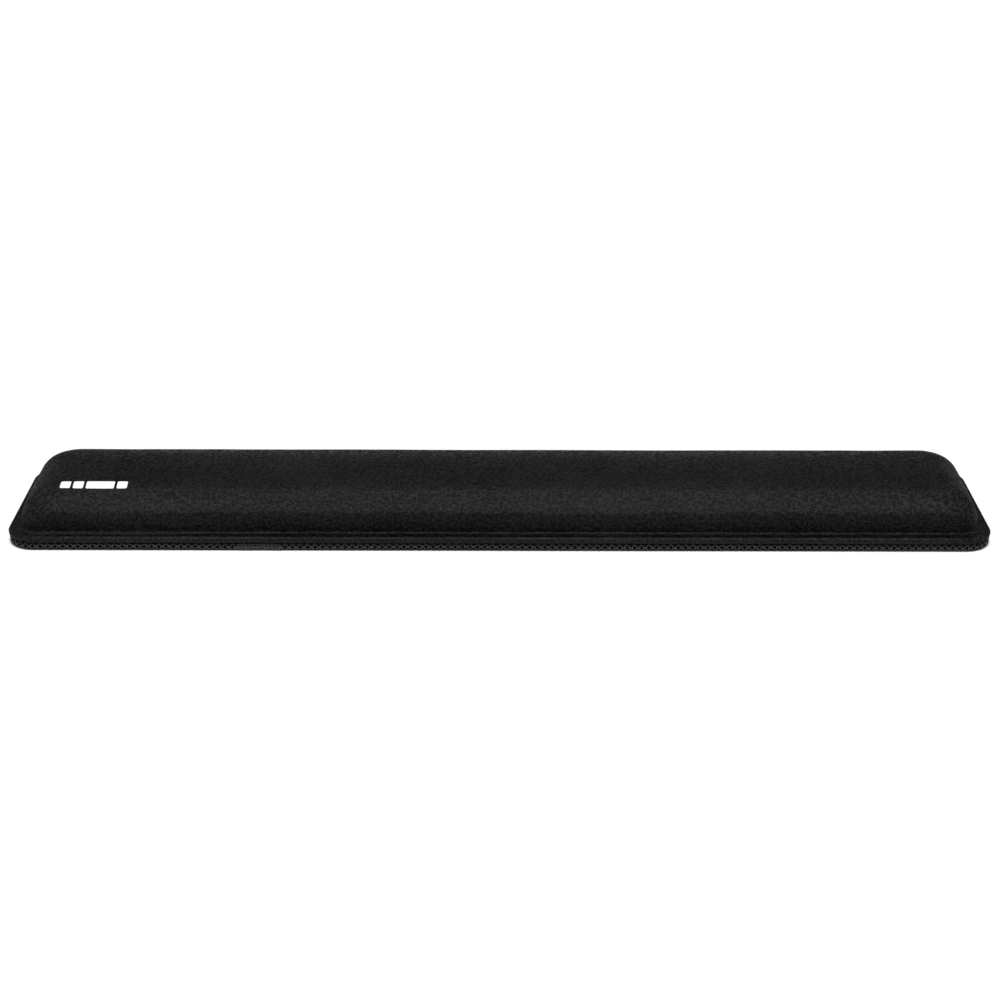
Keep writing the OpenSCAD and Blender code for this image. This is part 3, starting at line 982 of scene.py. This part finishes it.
dress(cover, knit_material(), "cover_knit", "knit_cover")
dress(foam, foam_material(), "foam", "foam_core")
dress(base, rubber_material(), "base_rubber", "rubber_base")
sewing_thread = thread_material()
dress(upper_thread, sewing_thread, "sewing_thread", "upper_looper_thread")
dress(lower_thread, sewing_thread, "sewing_thread", "lower_looper_thread")
dress(needle_thread, sewing_thread, "sewing_thread", "needle_thread")
dress(mark, print_material(), "print_film", "printed_mark")

adhesive = frame["nodes"]["base_adhesive"]
adhesive.data.materials.clear()
adhesive.data.materials.append(film_material())


# ---------------------------------------------------------------- floor, light and camera

FLOOR_GAP = 0.02                       # so that no two surfaces lie in one plane
FLOOR_SIZE = 8                         # metres
bpy.ops.mesh.primitive_plane_add(size=FLOOR_SIZE, location=(0, 0, -FLOOR_GAP * MM))
floor = bpy.context.object
floor.name = "Floor"
floor.data.materials.append(floor_material())

# The key light is as wide as a large softbox seen from the object, and leans to the user's side
KEY_STRENGTH = 3.7
KEY_WIDTH, KEY_LEAN = 30, 13           # degrees
FILL_STRENGTH = 0.06
BACKDROP_STRENGTH = 0.42               # paler towards the horizon, like a studio's backdrop
BACKDROP_TOP = 0.19                    # sine of the elevation at which the backdrop ends

key = bpy.data.lights.new("Overhead_softbox", "SUN")
key.energy = KEY_STRENGTH
key.angle = math.radians(KEY_WIDTH)
key_object = bpy.data.objects.new("Overhead_softbox", key)
key_object.rotation_euler = (math.radians(KEY_LEAN), 0, 0)
bpy.context.collection.objects.link(key_object)

world = bpy.data.worlds.new("Studio")
world.use_nodes = True
sky = world.node_tree
direction = sky.nodes.new("ShaderNodeTexCoord").outputs["Generated"]
split = sky.nodes.new("ShaderNodeSeparateXYZ")
glow = sky.nodes.new("ShaderNodeMapRange")
glow.interpolation_type = "SMOOTHSTEP"
glow.inputs["From Max"].default_value = BACKDROP_TOP
glow.inputs["To Min"].default_value = BACKDROP_STRENGTH
glow.inputs["To Max"].default_value = FILL_STRENGTH
sky.links.new(direction, split.inputs[0])
sky.links.new(split.outputs["Z"], glow.inputs["Value"])
sky.nodes["Background"].inputs["Color"].default_value = (1, 1, 1, 1)
sky.links.new(glow.outputs[0], sky.nodes["Background"].inputs["Strength"])
bpy.context.scene.world = world
bpy.context.scene.view_settings.view_transform = "Standard"

CAMERA_LENS, CAMERA_SENSOR = 72.8, 36  # focal length and sensor width
CAMERA_NEAREST = 10.0
CAMERA_DISTANCE = 931.8
CAMERA_TURN, CAMERA_HEIGHT, CAMERA_ROLL = -0.17, 23.82, 0.18   # degrees
CAMERA_AIM = (0.1, 0.0, 7.4)

camera_data = bpy.data.cameras.new("Camera")
camera_data.lens = CAMERA_LENS
camera_data.sensor_width = CAMERA_SENSOR
camera_data.clip_start = CAMERA_NEAREST * MM
camera = bpy.data.objects.new("Camera", camera_data)
bpy.context.collection.objects.link(camera)
turn, tilt = math.radians(CAMERA_TURN), math.radians(CAMERA_HEIGHT)
back = Vector((math.sin(turn) * math.cos(tilt), -math.cos(turn) * math.cos(tilt), math.sin(tilt)))
camera.location = (Vector(CAMERA_AIM) + back * CAMERA_DISTANCE) * MM
look = (-back).to_track_quat("-Z", "Y").to_matrix().to_4x4()
camera.rotation_euler = (look @ Matrix.Rotation(math.radians(CAMERA_ROLL), 4, "Z")).to_euler()
bpy.context.scene.camera = camera
